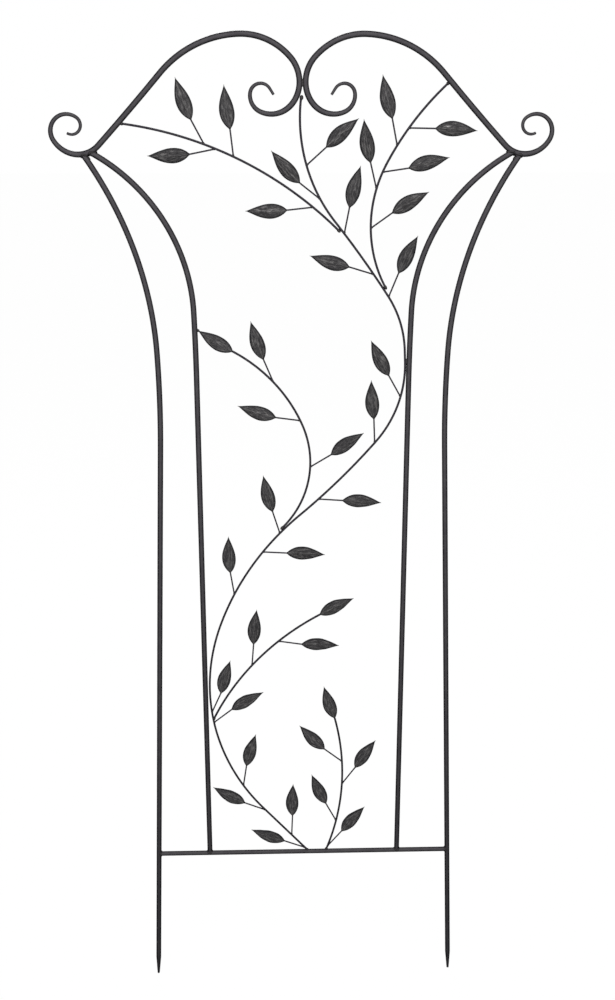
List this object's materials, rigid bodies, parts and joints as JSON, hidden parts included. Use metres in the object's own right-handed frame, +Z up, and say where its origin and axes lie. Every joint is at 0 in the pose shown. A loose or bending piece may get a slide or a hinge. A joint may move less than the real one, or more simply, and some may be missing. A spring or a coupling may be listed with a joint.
{
  "type": "garden trellis panel",
  "caption": "Flat metal garden trellis with mirrored scroll arches, outer legs ending in ground spikes, inner stiles and a welded vine of wire stems and leaves.",
  "frame": {"origin": "midway between the two legs, level with the points of the ground spikes", "axes": "+X to the right across the panel seen from its front, -Y towards the front, +Z up"},
  "size_m": [0.842, 0.014, 1.83],
  "materials": {
    "bar": "black powder coat, satin",
    "wire": "black powder coat, satin",
    "leaf": "black powder coat brushed with bronze on the veins",
    "weld": "black powder coat over rough bead"
  },
  "bodies": {
    "root": {"left_leg": "bar", "right_leg": "bar", "left_stile": "bar", "right_stile": "bar", "bottom_rail": "bar", "left_arch": "bar", "right_arch": "bar", "main_stem": "wire", "crown_left_stem": "wire", "crown_right_stem": "wire", "middle_stem": "wire", "low_stem": "wire", "root_stem": "wire", "main_stalks": "wire", "crown_left_stalks": "wire", "crown_right_stalks": "wire", "middle_stalks": "wire", "low_stalks": "wire", "root_stalks": "wire", "main_leaf_1": "leaf", "main_leaf_2": "leaf", "main_leaf_3": "leaf", "main_leaf_4": "leaf", "main_leaf_5": "leaf", "main_leaf_6": "leaf", "main_leaf_7": "leaf", "main_leaf_8": "leaf", "main_leaf_9": "leaf", "main_leaf_10": "leaf", "main_leaf_11": "leaf", "main_leaf_12": "leaf", "main_leaf_13": "leaf", "main_leaf_14": "leaf", "main_leaf_15": "leaf", "main_leaf_16": "leaf", "main_leaf_17": "leaf", "crown_left_leaf_1": "leaf", "crown_left_leaf_2": "leaf", "crown_left_leaf_3": "leaf", "crown_left_leaf_4": "leaf", "crown_right_leaf_1": "leaf", "crown_right_leaf_2": "leaf", "crown_right_leaf_3": "leaf", "crown_right_leaf_4": "leaf", "crown_right_leaf_5": "leaf", "middle_leaf_1": "leaf", "middle_leaf_2": "leaf", "middle_leaf_3": "leaf", "middle_leaf_4": "leaf", "low_leaf_1": "leaf", "low_leaf_2": "leaf", "low_leaf_3": "leaf", "root_leaf_1": "leaf", "root_leaf_2": "leaf", "root_leaf_3": "leaf", "root_leaf_4": "leaf", "root_leaf_5": "leaf", "frame_welds": "weld", "vine_welds": "weld"}
  },
  "joints": []
}
